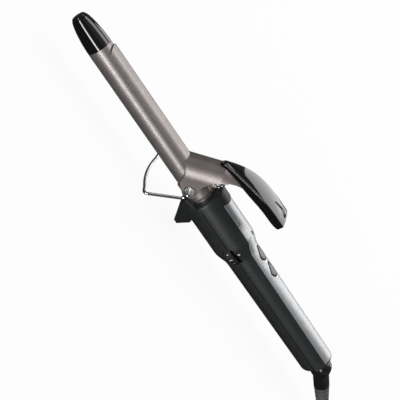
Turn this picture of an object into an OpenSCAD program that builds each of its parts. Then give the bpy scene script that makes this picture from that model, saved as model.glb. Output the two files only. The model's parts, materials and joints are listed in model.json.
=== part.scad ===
// Curling iron: spring clamp on a heated barrel, sculpted handle with a
// temperature wheel and two buttons, wire rest stand, ball-swivel mains lead.
// Long axis along X, tip towards -X, lever side up. The origin is where the
// clamp's hinge axis crosses the barrel's axis.

/* [Barrel] */
// Outside diameter of the heated barrel
barrel_d = 19; // [16:0.5:25]
// Hinge axis to the seam of the tip cap
barrel_len = 125; // [90:1:170]
// Wall of the barrel tube
barrel_wall = 0.8; // [0.6:0.1:1.5]
// Length of the cool tip beyond the seam
tip_len = 27; // [20:0.5:35]
// Radius of the flat end of the tip
tip_end_r = 4.3; // [3:0.1:6]
// Length of the root sleeve behind the hinge
root_len = 12.2; // [11:0.1:13]
// Length of the heating element
heater_len = 62; // [40:1:75]

/* [Clamp] */
// Thickness of the clamp's sheet metal
sheet_t = 1; // [0.8:0.1:1.4]
// Half of the arc that the clamp spoon covers
spoon_half_arc = 47; // [35:1:60]
// Outside width across the lever's two ears
lever_w = 26; // [25:0.5:32]
// Radius of each ear round the hinge boss
ear_r = 6.2; // [5.6:0.1:7]
// Slope of the lever arm where it leaves the barrel
arm_slope = 45; // [35:1:55]
// Slope of the lever arm under the thumb rest
arm_top_slope = 28; // [20:1:34]
// Width of the thumb rest at its widest
thumb_w = 22.6; // [18:0.2:26]
// Length of the thumb rest along the handle
thumb_len = 63.4; // [50:0.2:75]
// How far the clamp opens
clamp_open = 18; // [10:1:20]

/* [Hinge] */
// Shank diameter of each hinge screw
screw_d = 4; // [3:0.5:5]
// Head diameter of each hinge screw
screw_head_d = 7.4; // [6:0.2:9]
// Head height of each hinge screw
screw_head_h = 1.1; // [0.8:0.1:2]

/* [Spring] */
// Outside diameter of the clamp spring
spring_d = 8; // [6:0.2:8.4]
// Wire diameter of the clamp spring
spring_wire = 1.6; // [0.8:0.1:1.8]
// Number of turns of the clamp spring
spring_turns = 6; // [4:1:9]

/* [Stand] */
// Wire diameter of the rest stand
stand_wire_d = 2.3; // [1.6:0.1:3]
// Width of the rest stand at its foot
stand_w = 56; // [44:1:66]
// Hinge axis to the foot of the stand
stand_len = 31; // [26:0.5:36]
// Lean of the stand from straight down towards the tip
stand_lean = 41; // [30:1:50]

/* [Handle] */
// Radius of the handle at its head
head_r = 17; // [15.5:0.5:20]
// Radius of the handle where the grip starts
grip_r = 13.9; // [13:0.1:15]
// Radius of the handle at its tail
tail_r = 13; // [12.8:0.1:14]
// Hinge axis to the front of the handle shells, at their sides
handle_front = 19.2; // [18:0.2:23]
// Radius of the arched seam at the front of the shells
seam_r = 26; // [22:0.5:34]
// Length of the thick head of the handle
head_len = 37.8; // [30:0.2:42]
// Length of the taper from head to grip
taper_len = 15; // [10:1:20]
// Length of the handle shells in all
handle_len = 169.2; // [150:0.1:190]
// Wall of the handle shells
shell_wall = 2.2; // [1.8:0.1:3]
// Width of the bright trim along the top
trim_w = 18.2; // [14:0.2:20]
// Thickness of the trim
trim_t = 1.4; // [1:0.1:2]

/* [Heat guard] */
// Depth of the beak's foot below the barrel's axis
beak_drop = 29.6; // [26:0.2:34]
// Width of the flat foot of the beak
beak_foot_w = 7; // [5:0.5:12]
// Radius of the guard's ring
collar_r = 17.6; // [17.2:0.1:19]

/* [Controls] */
// Length of each teardrop button
button_len = 12; // [9:0.5:14]
// Width of each teardrop button
button_w = 7.8; // [6:0.2:9]
// Distance between the two buttons
button_pitch = 16.8; // [14:0.2:20]
// Travel of each button
button_travel = 0.8; // [0.4:0.1:1.2]
// Radius of the temperature wheel
wheel_r = 10; // [9:0.5:10.5]
// Thickness of the temperature wheel
wheel_t = 5; // [3:0.2:5.2]
// How far the wheel stands out of the shell
wheel_proud = 1.8; // [0.8:0.1:2.2]

/* [Cord] */
// Diameter of the mains cord
cord_d = 6.5; // [6:0.1:7]
// Radius of the swivel ball
ball_r = 9; // [8.4:0.1:9.4]
// Slope of the cord's exit below the handle's axis
exit_slope = 27; // [22:1:29]
// Ball centre to the end of the strain relief
relief_len = 44; // [40:1:46]

/* [Hidden] */

$fn = 64;
// A hair, so that cutters pass the faces they cut
eps = 0.01;
// Cutters longer than anything that they cut
far = 400;
// Clearance between curved faces of pieces that move past each other
move_gap = 0.3;
// Radial clearance of a running fit
run_gap = 0.05;
// Clearance of a piece seated in its recess
seat_gap = 0.1;

barrel_r = barrel_d / 2;
barrel_in_r = barrel_r - barrel_wall;
seam_x = -barrel_len;
tip_x = seam_x - tip_len;
root_r = barrel_r + 1.1;
spoon_in_r = barrel_r + move_gap;
spoon_r = spoon_in_r + sheet_t;
ear_in_y = lever_w / 2 - sheet_t;
screw_r = screw_d / 2;
boss_end_y = lever_w / 2 - sheet_t / 2;
head_face_y = boss_end_y + screw_head_h;
pin_r = stand_wire_d / 2;
head_end = handle_front + head_len;
grip_start = head_end + taper_len;
handle_end = handle_front + handle_len;

// Runs children, drawn about Z, round the X axis: 0 is straight down, 180 up
module about_x(from = 0, to = 360) {
    rotate([0, 90, 0])
        rotate([0, 0, from])
            rotate_extrude(angle = to - from)
                children();
}

// A rod along X from one place to another
module x_rod(from, to, r) {
    translate([from, 0, 0])
        rotate([0, 90, 0])
            cylinder(h = to - from, r = r);
}

// A rod along Y, centred or to one side
module y_rod(from, to, r) {
    translate([0, from, 0])
        rotate([-90, 0, 0])
            cylinder(h = to - from, r = r);
}

// A straight round bar between two points, with a ball at its far end that
// is a hair thicker, like the swelling of a bent wire
bend_swell = 1.02;
module bar(a, b, r) {
    d = b - a;
    run = norm(d);
    translate(a)
        rotate([0, acos(d[2] / run), atan2(d[1], d[0])])
            cylinder(h = run, r = r, $fn = 24);
    translate(b)
        sphere(r = r * bend_swell, $fn = 24);
}

// Points on an arc round c
function arc(c, r, from, to, steps) =
    [for (i = [0 : steps])
        let (a = from + (to - from) * i / steps)
        c + r * [cos(a), sin(a)]];

// Half-round plan outline: a slot from x0 to x1, rounded at x0
module tongue(x0, x1, w, r) {
    translate([x0 + r, -w / 2])
        square([x1 - x0 - r, w]);
    translate([x0, -w / 2 + r])
        square([r + eps, w - 2 * r]);
    for (side = [-1, 1])
        translate([x0 + r, side * (w / 2 - r)])
            circle(r = r);
}

// ---- Barrel ------------------------------------------------------------

tube_end = handle_front + 4;
spigot_r = barrel_in_r - run_gap;
spigot_len = 6;

module barrel_tube() {
    color([0.52, 0.47, 0.45])
        difference() {
            x_rod(seam_x, tube_end, barrel_r);
            x_rod(seam_x - 1, tube_end + 1, barrel_in_r);
        }
}

// Radius of the tip at a share u of its length, 0 at the seam, 1 at the end
tip_bulge = 0.62;
tip_edge = 1;
function tip_r(u) = tip_end_r + tip_edge
    + (barrel_r - tip_end_r - tip_edge) * pow(1 - pow(u, 1.7), tip_bulge);

tip_steps = 14;
tip_body_len = tip_len - tip_edge;
module tip_cap() {
    color([0.05, 0.05, 0.055])
        rotate([0, 90, 0])
            rotate_extrude()
                polygon(concat(
                    [[0, seam_x + spigot_len], [spigot_r, seam_x + spigot_len], [spigot_r, seam_x],
                     [barrel_r, seam_x]],
                    [for (i = [1 : tip_steps])
                        let (u = i / tip_steps * 0.999)
                        [tip_r(u), seam_x - u * tip_body_len]],
                    [for (a = [15 : 15 : 90])
                        [tip_end_r + tip_edge * cos(a), tip_x + tip_edge - tip_edge * sin(a)]],
                    [[0, tip_x]]));
}

heater_w = 12;
heater_t = 3;
heater_x = seam_x + 20;
heater_bare = 9;
spreader_gap = 0.02;
module heater_core() {
    color([0.85, 0.83, 0.78])
        translate([heater_x, -heater_w / 2, -heater_t / 2])
            cube([heater_len, heater_w, heater_t]);
}

module heat_spreaders() {
    color([0.72, 0.73, 0.74])
        for (side = [-1, 1])
            difference() {
                x_rod(heater_x - 3, heater_x + heater_len - heater_bare, barrel_in_r - spreader_gap);
                translate([-far / 2, -far / 2, side > 0 ? -far : -heater_t / 2 - spreader_gap])
                    cube([far, far, far + (side > 0 ? heater_t / 2 + spreader_gap : 0)]);
            }
}

lead_r = 0.8;
lead_y = 3.2;
lead_z = heater_t / 2 + lead_r;
heater_end = heater_x + heater_len;
sensor_r = 1.4;
sensor_len = 7;
module thermistor() {
    color([0.78, 0.42, 0.16])
        translate([0, 0, heater_t / 2 + sensor_r])
            x_rod(heater_end - sensor_len, heater_end, sensor_r);
}

// Two heater leads and the sensor lead run back under the board
board_x = head_end - 13;
board_t = 1.6;
board_top = lead_z + lead_r + board_t;
module heater_leads() {
    color([0.86, 0.86, 0.84])
        for (lead = [[-lead_y, heater_end - heater_bare + 2], [0, heater_end],
                     [lead_y, heater_end - heater_bare + 2]])
            translate([0, lead[0], lead_z])
                x_rod(lead[1], board_x + 8, lead_r);
}

// Sleeve on the barrel's root, with the hinge bosses and the spring's post
root_front = -5;
root_edge = 2.6;
boss_r = 4.25;
boss_base_r = 5.4;
spring_x = root_len - 3.2;
spring_post_r = spring_d / 2 - spring_wire - 0.3;
module barrel_root() {
    color([0.47, 0.42, 0.40])
        difference() {
            union() {
                about_x()
                    polygon(concat(
                        [[barrel_r - 1, root_front], [root_r - 0.4, root_front], [root_r, root_front + 0.4]],
                        [for (a = [0 : 15 : 90])
                            [barrel_r + (root_r - barrel_r) * cos(a), root_len - root_edge * (1 - sin(a))]],
                        [[barrel_r - 1, root_len]]));
                y_rod(-ear_in_y + move_gap, ear_in_y - move_gap, boss_base_r);
                y_rod(-boss_end_y, boss_end_y, boss_r);
                translate([spring_x, 0, 0])
                    cylinder(h = spring_seat + 3, r = spring_post_r);
                translate([spring_x, 0, 0])
                    cylinder(h = spring_seat, r = spring_d / 2 + 0.1);
            }
            x_rod(-far / 2, far / 2, barrel_r);
            y_rod(-far, far, screw_r);
        }
}

// Shoulder screws: slotted head, with the stand's wire turning in its centre
slot_w = 1;
slot_deep = 0.7;
pin_deep = 3;
module pivot_screws() {
    color([0.80, 0.80, 0.80])
        for (side = [-1, 1])
            mirror([0, side > 0 ? 1 : 0, 0])
                difference() {
                    union() {
                        y_rod(-head_face_y, -boss_end_y, screw_head_d / 2 - 0.3);
                        y_rod(-head_face_y + 0.3, -boss_end_y, screw_head_d / 2);
                        y_rod(-boss_end_y - eps, -barrel_r - 0.2, screw_r);
                    }
                    y_rod(-far, -head_face_y + pin_deep, pin_r + run_gap);
                    translate([0, -head_face_y, 0])
                        rotate([0, 35, 0])
                            cube([screw_head_d + 1, slot_deep * 2, slot_w], center = true);
                }
}

// ---- Clamp -------------------------------------------------------------

spoon_tip_gap = 3.5;
spoon_x0 = seam_x + spoon_tip_gap;
crease_x = -21.3;
spoon_x1 = crease_x + 8;
spoon_w = 2 * spoon_r * sin(spoon_half_arc);

module clamp_spoon() {
    color([0.52, 0.47, 0.45])
        intersection() {
            about_x(180 - spoon_half_arc, 180 + spoon_half_arc)
                translate([spoon_in_r, spoon_x0])
                    square([sheet_t, spoon_x1 - spoon_x0]);
            linear_extrude(height = far)
                tongue(spoon_x0, spoon_x1 + 1, spoon_w + 1, spoon_w / 2 - 0.4);
        }
}

// Side outline of the folded lever: ear round the boss, long concave back,
// hollow front edge running into the spoon
lever_back = [28.6, 11.1];
lever_back_r = 27.2;
lever_hollow = [-20.5, -1.4];
lever_hollow_r = 9.2;
lever_end_x = 19;
roof_z = spoon_r - crease_x * tan(arm_slope);
module lever_side() {
    polygon(concat(
        arc([0, 0], ear_r, -125, 20, 20),
        arc(lever_back, lever_back_r, 183, 111, 14),
        [[lever_end_x, far], [crease_x - 1, far], [crease_x - 1, spoon_r - 1.5]],
        arc(lever_hollow, lever_hollow_r, 92, 20, 8),
        [[-10.6, -1.3], [-8, -3.4]]));
}

// Section of the fold across the arm: round shoulders, open underneath
fold_r = 12.4;
module fold_section(inset) {
    w = lever_w / 2 - inset;
    r = fold_r - inset;
    translate([-w, -80])
        square([2 * w, 80 - inset - r]);
    translate([-w + r, -r - inset - 1])
        square([2 * (w - r), r + 1]);
    for (side = [-1, 1])
        translate([side * (w - r), -inset - r])
            circle(r = r);
}

module fold_run(x, z, slope, inset) {
    translate([x, 0, z])
        rotate([0, -slope, 0])
            translate([-60, 0, 0])
                rotate([90, 0, 90])
                    linear_extrude(height = 120)
                        fold_section(inset);
}

// The arm rises steeply from the crease, then bends flatter for the thumb
bend_x = -1;
module fold(inset) {
    intersection() {
        fold_run(bend_x, roof_z + bend_x * tan(arm_slope), arm_slope, inset);
        fold_run(bend_x, roof_z + bend_x * tan(arm_slope), arm_top_slope, inset);
    }
}

module lever_arm() {
    color([0.50, 0.45, 0.43])
        difference() {
            intersection() {
                rotate([90, 0, 0])
                    linear_extrude(height = lever_w + 4, center = true)
                        lever_side();
                fold(0);
            }
            fold(sheet_t);
            y_rod(-far, far, boss_r + run_gap);
            x_rod(-far / 2, 3, spoon_r);
            rivet(rivet_hole_gap);
        }
}

// Thumb rest: flat-topped cross-sections strung along a curved spine, whose
// ridge rises fast from a narrow nose and levels out at thumb_peak
thumb_x0 = -5;
thumb_sections = 15;
thumb_nose_z = 31;
thumb_ridge_z = 46.2;
thumb_peak = 0.93;
thumb_edge_r = 1;
thumb_crown = 0.8;
function thumb_x(u) = thumb_x0 + u * thumb_len;
function thumb_u(x) = (x - thumb_x0) / thumb_len;
function thumb_top(u) =
    thumb_ridge_z - (thumb_ridge_z - thumb_nose_z) * pow(max(0, 1 - u / thumb_peak), 2.45);
function thumb_h(u) = 4.4 + 3.6 * ease(u / 0.6) - 1.6 * pow(max(0, u - 0.85) / 0.15, 2);
function thumb_half(u) = thumb_w / 2 * (0.22 + 0.78 * sin(min(90, 180 * u)));

module thumb_section(u) {
    h = thumb_h(u);
    half = thumb_half(u);
    r = min(h, 2 * half) * 0.34;
    translate([thumb_x(u), 0, thumb_top(u)])
        rotate([90, 0, 90])
            linear_extrude(height = 0.2, center = true)
                hull() {
                    for (side = [-1, 1]) {
                        translate([side * (half - r), -h + r])
                            circle(r = r, $fn = 20);
                        translate([side * (half - thumb_edge_r), -thumb_edge_r])
                            circle(r = thumb_edge_r, $fn = 16);
                    }
                    scale([half - thumb_edge_r, thumb_crown])
                        circle(r = 1, $fn = 28);
                }
}

// Shallow teardrop for the finger near the end of the thumb rest
dip_x = 51.5;
dip_r = 6;
dip_deep = 1.2;
module finger_dip() {
    hull()
        for (end = [[dip_x, dip_r], [dip_x - 9, 1.6]])
            translate([end[0], 0, thumb_ridge_z + thumb_crown])
                scale([1, 1, dip_deep / dip_r])
                    sphere(r = end[1], $fn = 40);
}

module thumb_rest() {
    color([0.04, 0.04, 0.045])
        difference() {
            for (i = [0 : thumb_sections - 2])
                hull() {
                    thumb_section(i / (thumb_sections - 1));
                    thumb_section((i + 1) / (thumb_sections - 1));
                }
            difference() {
                intersection() {
                    rotate([90, 0, 0])
                        linear_extrude(height = lever_w + 4, center = true)
                            lever_side();
                    fold(-run_gap);
                }
                fold(sheet_t + run_gap);
            }
            finger_dip();
            rivet(rivet_hole_gap);
        }
}

// Rivet through the nose of the thumb rest, square to the sheet
rivet_x = -3;
rivet_r = 1.5;
rivet_shank_r = 0.9;
rivet_rise = 2.5;
rivet_drop = 2.6;
rivet_hole_gap = 0.03;
module rivet(grow) {
    translate([rivet_x, 0, roof_z + rivet_x * tan(arm_slope)])
        rotate([0, -arm_slope, 0]) {
            translate([0, 0, rivet_rise - 1 - grow])
                cylinder(h = 1 + grow * 40, r = rivet_r + grow);
            translate([0, 0, -rivet_drop])
                cylinder(h = rivet_drop + rivet_rise - 0.5, r = rivet_shank_r + grow);
            translate([0, 0, -rivet_drop - grow])
                cylinder(h = 0.8 + 2 * grow, r = rivet_r + grow);
        }
}

module thumb_rivet() {
    color([0.75, 0.75, 0.75])
        rivet(0);
}

// Compression spring between the root's post and the arm. Each level cut of the
// wire is a curved sliver, as wide round the coil as the wire is high there
spring_seat = barrel_r + 1.3;
spring_under = thumb_u(spring_x - spring_d / 2);
spring_top = thumb_top(spring_under) - thumb_h(spring_under) - move_gap;
spring_wire_r = spring_wire / 2;
spring_pitch = (spring_top - spring_seat - spring_wire) / spring_turns;
spring_mean_r = spring_d / 2 - spring_wire_r;
module clamp_spring() {
    color([0.78, 0.78, 0.78])
        translate([spring_x, 0, spring_seat + spring_wire_r])
            linear_extrude(height = spring_pitch * spring_turns, twist = -360 * spring_turns,
                           slices = spring_turns * 14, $fn = 4)
                polygon([for (t = [0 : 24 : 359])
                    let (round_by = spring_wire_r * cos(t) * 360 / spring_pitch,
                         r = spring_mean_r + spring_wire_r * sin(t))
                    [r * cos(round_by), r * sin(round_by)]]);
}

// ---- Stand -------------------------------------------------------------

stand_out_y = head_face_y + 4;
stand_bow = 4;
bow_bars = 4;
corner_r = 3;
function lean_point(len, y) = [-len * sin(stand_lean), y, -len * cos(stand_lean)];
stand_pin_end = [0, -head_face_y + pin_deep - 0.2, 0];
stand_elbow = [0, -stand_out_y, 0];
stand_jog = [1, -stand_out_y, -5];
stand_knee = lean_point(stand_len - corner_r, -stand_w / 2);
function bow_point(i) =
    let (u = 2 * i / bow_bars - 1)
    lean_point(stand_len + stand_bow * (1 - u * u), u * (stand_w / 2 - corner_r));
function mirror_y(p) = [p[0], -p[1], p[2]];
foot_path = concat(
    [stand_knee],
    [for (i = [0 : bow_bars]) bow_point(i)],
    [mirror_y(stand_knee)]);

// Ball of the foot's wire, as wide across its flats as the legs are round
bead_sides = 16;
module foot_bead(p) {
    translate(p)
        sphere(r = pin_r / cos(180 / bead_sides), $fn = bead_sides);
}

// One leg: the pivot pin, the elbow and the straight run to the knee
module stand_leg() {
    bar(stand_pin_end, stand_elbow, pin_r);
    bar(stand_elbow, stand_jog, pin_r);
    bar(stand_jog, stand_knee, pin_r);
}

module stand_wire() {
    color([0.80, 0.80, 0.80]) {
        stand_leg();
        mirror([0, 1, 0])
            stand_leg();
        for (i = [0 : len(foot_path) - 2])
            hull() {
                foot_bead(foot_path[i]);
                foot_bead(foot_path[i + 1]);
            }
    }
}

// ---- Handle ------------------------------------------------------------

// Radius of the handle at x: thick head, eased taper, slim grip
function ease(u) = (1 - cos(180 * max(0, min(1, u)))) / 2;
function handle_r(x) =
    x <= head_end ? head_r
    : x <= grip_start ? head_r + (grip_r - head_r) * ease((x - head_end) / taper_len)
    : grip_r + (tail_r - grip_r) * (x - grip_start) / (handle_end - grip_start);

taper_steps = 10;
tail_round = 4.9;
tail_edge = 0.8;
ball_out = 5;
tail_wall = 5.4;
ball_x = handle_end + ball_out;
cavity_end = handle_end - tail_wall;
handle_stations = concat([handle_front], [for (i = [0 : taper_steps]) head_end + i * taper_len / taper_steps]);

// Outline of the shells in radius and x, grown by d
module handle_profile(d, x0, x1) {
    inner = [for (x = handle_stations) if (x > x0 && x < x1) x];
    xs = concat([x0], inner, [x1]);
    polygon(concat([[0, x0]], [for (x = xs) [handle_r(x) + d, x]], [[0, x1]]));
}

module rounded_handle(edge) {
    r = handle_r(handle_end);
    difference() {
        handle_profile(0, handle_front, handle_end);
        translate([r - edge, handle_end - edge])
            difference() {
                square([2 * edge, 2 * edge]);
                circle(r = edge);
            }
    }
}

// What the arched seam takes off the front of the shells and the trim
seam_x0 = handle_front + seam_r;
module seam_arch(r) {
    translate([seam_x0, 0, 0])
        y_rod(-far, far, r);
}

module front_arch() {
    difference() {
        translate([-far, -far, -far])
            cube([far + seam_x0, 2 * far, 2 * far]);
        seam_arch(seam_r);
    }
}

split_gap = 0.25;
// Half of the shells: 90 either side of straight down, or of straight up
module shell_half(middle, edge) {
    difference() {
        about_x(middle - 90, middle + 90)
            rounded_handle(edge);
        about_x()
            handle_profile(-shell_wall, handle_front - 1, cavity_end);
        front_arch();
    }
}

// Groove along the split, half a wall deep
module split_groove() {
    intersection() {
        about_x()
            difference() {
                handle_profile(1, handle_front - 1, handle_end + 1);
                handle_profile(-shell_wall / 2, handle_front - 2, handle_end + 2);
            }
        translate([0, -far / 2, -split_gap])
            cube([far, far, 2 * split_gap]);
    }
}

boss_x = [handle_end - 72, handle_end - 24.4];
shell_boss_r = 3.4;
shell_screw_r = 1.4;
shell_head_r = 2.8;
shell_head_z = -8.4;
module shell_bosses(z0, z1) {
    for (x = boss_x)
        translate([x, 0, z0])
            cylinder(h = z1 - z0, r = shell_boss_r);
}

wheel_x = head_end + 5;
wheel_z = -1.6;
wheel_y = -(handle_r(wheel_x) + wheel_proud - wheel_r);
window_gap = 0.5;
module wheel_pocket() {
    translate([wheel_x, wheel_y, wheel_z - wheel_t / 2 - window_gap])
        cylinder(h = wheel_t + 2 * window_gap + 1.6, r = wheel_r + window_gap);
}

module ball_seat() {
    translate([ball_x, 0, 0])
        sphere(r = ball_r + move_gap, $fn = 96);
    at_exit()
        translate([0, 0, -stem_len - move_gap])
            cylinder(h = stem_len + move_gap - stem_start, r = stem_r + move_gap);
}

module lower_shell() {
    color([0.07, 0.07, 0.075])
        difference() {
            union() {
                shell_half(0, tail_round);
                intersection() {
                    union() {
                        shell_bosses(-head_r, -eps);
                        board_posts();
                    }
                    about_x()
                        handle_profile(-shell_wall / 2, handle_front + 1, cavity_end - 1);
                }
            }
            split_groove();
            for (x = boss_x)
                translate([x, 0, 0]) {
                    translate([0, 0, -far])
                        cylinder(h = 2 * far, r = shell_screw_r + 0.1);
                    translate([0, 0, -far + shell_head_z])
                        cylinder(h = far, r = shell_head_r + 0.2);
                }
            wheel_pocket();
            ball_seat();
        }
}

// Posts that carry the circuit board
board_w = 18;
board_len = 66;
post_r = 1.5;
module board_posts() {
    for (x = [board_x + 3, board_x + board_len - 4], side = [-1, 1])
        translate([x, side * (board_w / 2 - 2), -head_r])
            cylinder(h = head_r + board_top - board_t, r = post_r);
}

trim_x0 = handle_front + seat_gap;
trim_x1 = handle_end - 1.6;
module trim_band(grow) {
    difference() {
        intersection() {
            about_x(90, 270)
                difference() {
                    handle_profile(0.15 + grow * 10, trim_x0 - grow * 10, trim_x1 + grow);
                    handle_profile(-trim_t - grow, trim_x0 - grow * 20, trim_x1 + grow * 20);
                }
            translate([0, -trim_w / 2 - grow, 0])
                cube([far, trim_w + 2 * grow, far]);
        }
        front_arch();
    }
}

button_x = [head_end + 19.6, head_end + 19.6 + button_pitch];
button_gap = 0.4;
lamp_x = head_end + 1.2;
lamp_len = 3.6;
lamp_w = 2.2;

// Plan of a button: round towards the tail, pointed towards the tip
module teardrop(grow) {
    r = button_w / 2;
    offset(r = grow)
        hull() {
            translate([button_len / 2 - r, 0])
                circle(r = r, $fn = 48);
            translate([-button_len / 2 + 0.5, 0])
                circle(r = 0.5, $fn = 16);
        }
}

module lamp_plan(grow) {
    for (side = [-1, 1])
        translate([side * (lamp_len - lamp_w) / 2, 0])
            circle(r = lamp_w / 2 + grow);
    square([lamp_len - lamp_w, lamp_w + 2 * grow], center = true);
}

module control_holes() {
    for (x = button_x)
        translate([x, 0, 0])
            linear_extrude(height = far)
                teardrop(button_gap);
    translate([lamp_x, 0, 0])
        linear_extrude(height = far)
            lamp_plan(0.05);
}

module upper_shell() {
    color([0.07, 0.07, 0.075])
        difference() {
            union() {
                shell_half(180, tail_edge);
                intersection() {
                    shell_bosses(eps, head_r);
                    about_x()
                        handle_profile(-shell_wall / 2, handle_front + 1, cavity_end - 1);
                }
            }
            split_groove();
            for (x = boss_x)
                translate([x, 0, -1])
                    cylinder(h = screw_bite + 1, r = shell_screw_r);
            trim_band(0.05);
            wheel_pocket();
            control_holes();
            ball_seat();
        }
}

module top_trim() {
    color([0.80, 0.81, 0.82])
        difference() {
            trim_band(0);
            control_holes();
        }
}

module lamp_lens() {
    color([0.10, 0.02, 0.02])
        intersection() {
            translate([lamp_x, 0, board_top + 3])
                linear_extrude(height = far)
                    lamp_plan(0);
            about_x(90, 270)
                handle_profile(0.3, handle_front, grip_start);
        }
}

module circuit_board() {
    color([0.10, 0.32, 0.16])
        difference() {
            union() {
                translate([board_x, -board_w / 2, board_top - board_t])
                    cube([board_len, board_w, board_t]);
                translate([lamp_x - 1.5, -1.5, board_top - eps])
                    cube([3, 3, 3 + eps]);
            }
            for (x = boss_x)
                translate([x, 0, 0])
                    cylinder(h = far, r = shell_boss_r + 0.2);
        }
}

tact_w = 6;
tact_h = 3.5;
plunger_h = 1;
module tact_switches() {
    color([0.15, 0.15, 0.16])
        for (x = button_x)
            translate([x, 0, board_top]) {
                translate([-tact_w / 2, -tact_w / 2, 0])
                    cube([tact_w, tact_w, tact_h]);
                cylinder(h = tact_h + plunger_h, r = 1.7);
            }
}

pot_w = 9;
pot_z = wheel_z + wheel_t / 2 + 0.4;
shaft_r = 1.5;
module wheel_pot() {
    color([0.20, 0.22, 0.26])
        translate([wheel_x, wheel_y, 0]) {
            translate([-pot_w / 2, -pot_w / 2 + 2.5, pot_z])
                cube([pot_w, pot_w, board_top - board_t - pot_z]);
            translate([0, 0, wheel_z - wheel_t / 2])
                cylinder(h = pot_z - wheel_z + wheel_t / 2 + eps, r = shaft_r);
        }
}

screw_bite = 7;
module shell_screws() {
    color([0.62, 0.62, 0.63])
        for (x = boss_x)
            translate([x, 0, shell_head_z])
                difference() {
                    union() {
                        cylinder(h = screw_bite - shell_head_z - 0.5, r = shell_screw_r);
                        translate([0, 0, -2])
                            cylinder(h = 2, r = shell_head_r);
                    }
                    for (turn = [0, 90])
                        rotate([0, 0, turn])
                            translate([-1.6, -0.35, -2 - eps])
                                cube([3.2, 0.7, 1]);
                }
}

// Carrier inside the tail, in whose bore the swivel's stem turns
carrier_len = 8;
module contact_carrier() {
    color([0.60, 0.55, 0.42])
        difference() {
            about_x()
                intersection() {
                    handle_profile(-shell_wall - 0.05, cavity_end - carrier_len, cavity_end - 0.05);
                    square([far, far]);
                }
            x_rod(0, far, 3);
            at_exit()
                translate([0, 0, -stem_len - move_gap])
                    cylinder(h = stem_len, r = stem_r + run_gap);
            translate([boss_x[1], 0, 0])
                cylinder(h = far, r = shell_boss_r + 0.3, center = true);
        }
}

// ---- Heat guard --------------------------------------------------------

collar_front = 13.4;
collar_edge = 2.5;
spigot_end = handle_front + 14;
guard_spigot_r = head_r - shell_wall - seat_gap;
module collar() {
    color([0.06, 0.06, 0.065])
        difference() {
            union() {
                difference() {
                    union() {
                        about_x()
                            polygon(concat(
                                [[0, collar_front]],
                                arc([collar_r - collar_edge, collar_front + collar_edge], collar_edge,
                                    -90, 0, 6),
                                [[collar_r, seam_x0], [0, seam_x0]]));
                        beak();
                    }
                    seam_arch(seam_r + seat_gap);
                }
                x_rod(collar_front + 1, spigot_end, guard_spigot_r);
            }
            x_rod(-far / 2, far / 2, barrel_r);
            x_rod(-far / 2, collar_front, root_r + move_gap);
            x_rod(handle_front + 2, far, guard_spigot_r - 2.1);
            ear_scoops();
        }
}

// Room for the lever's ears and the screws' heads beside the guard
module ear_scoops() {
    for (side = [-1, 1])
        translate([0, side * (far / 2 + ear_in_y - 1), 0])
            rotate([90, 0, 0])
                cylinder(h = far, r = ear_r + 1, center = true);
}

// Hood under the barrel's root: it runs from the ring out to a narrow foot
beak_foot_x = 20.6;
beak_foot_len = 3.6;
beak_lip_r = 1.2;
module beak() {
    hull() {
        translate([beak_foot_x, -beak_foot_w / 2, -beak_drop])
            cube([beak_foot_len, beak_foot_w, 1.5]);
        for (side = [-1, 1], p = [[5.6, 12.6, -7], [8.8, 9.4, -14.4], [15.4, 5, -21.8]])
            translate([p[0], side * p[1], p[2]])
                sphere(r = beak_lip_r, $fn = 20);
        intersection() {
            x_rod(collar_front + 1, beak_foot_x + beak_foot_len, collar_r);
            translate([0, -far / 2, -far - 2])
                cube([far, far, far]);
        }
    }
}

// ---- Controls ----------------------------------------------------------

button_proud = 0.6;
button_base = board_top + tact_h + plunger_h + button_travel + 0.05;
module button_at(x) {
    translate([x, 0, 0])
        intersection() {
            translate([0, 0, button_base])
                linear_extrude(height = far)
                    teardrop(0);
            translate([-x, 0, button_proud])
                about_x(90, 270)
                    handle_profile(0, grip_start - 4, grip_start + 60);
        }
}

module power_button() {
    color([0.62, 0.62, 0.63])
        button_at(button_x[0]);
}

module mode_button() {
    color([0.62, 0.62, 0.63])
        button_at(button_x[1]);
}

knurls = 36;
module dial_wheel() {
    color([0.09, 0.09, 0.095])
        translate([wheel_x, wheel_y, wheel_z - wheel_t / 2])
            difference() {
                cylinder(h = wheel_t, r = wheel_r);
                translate([0, 0, -1])
                    cylinder(h = wheel_t + 2, r = shaft_r + run_gap);
                for (i = [0 : knurls - 1])
                    rotate([0, 0, i * 360 / knurls])
                        translate([wheel_r + 0.25, 0, wheel_t - 1.1])
                            cylinder(h = 2, r = 0.5, $fn = 16);
            }
}

// ---- Swivel and cord ---------------------------------------------------

cord_r = cord_d / 2;
cord_gap = 0.3;
neck_r = 6.4;
neck_end = 20;
stem_r = 4;
stem_bore_r = 2.4;
stem_len = 15;
stem_start = ball_r - 1.8;
rib_pitch = 4.6;
ribs = floor((relief_len - neck_end) / rib_pitch);
module at_exit() {
    translate([ball_x, 0, 0])
        rotate([0, 90 + exit_slope, 0])
            children();
}

module swivel_ball() {
    color([0.05, 0.05, 0.055])
        at_exit()
            difference() {
                union() {
                    sphere(r = ball_r, $fn = 96);
                    cylinder(h = neck_end - 0.05, r1 = neck_r + 0.2, r2 = neck_r);
                    translate([0, 0, -stem_len])
                        cylinder(h = stem_len, r = stem_r);
                }
                cylinder(h = far, r = cord_r + cord_gap);
                cylinder(h = far, r = stem_bore_r, center = true);
            }
}

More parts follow.
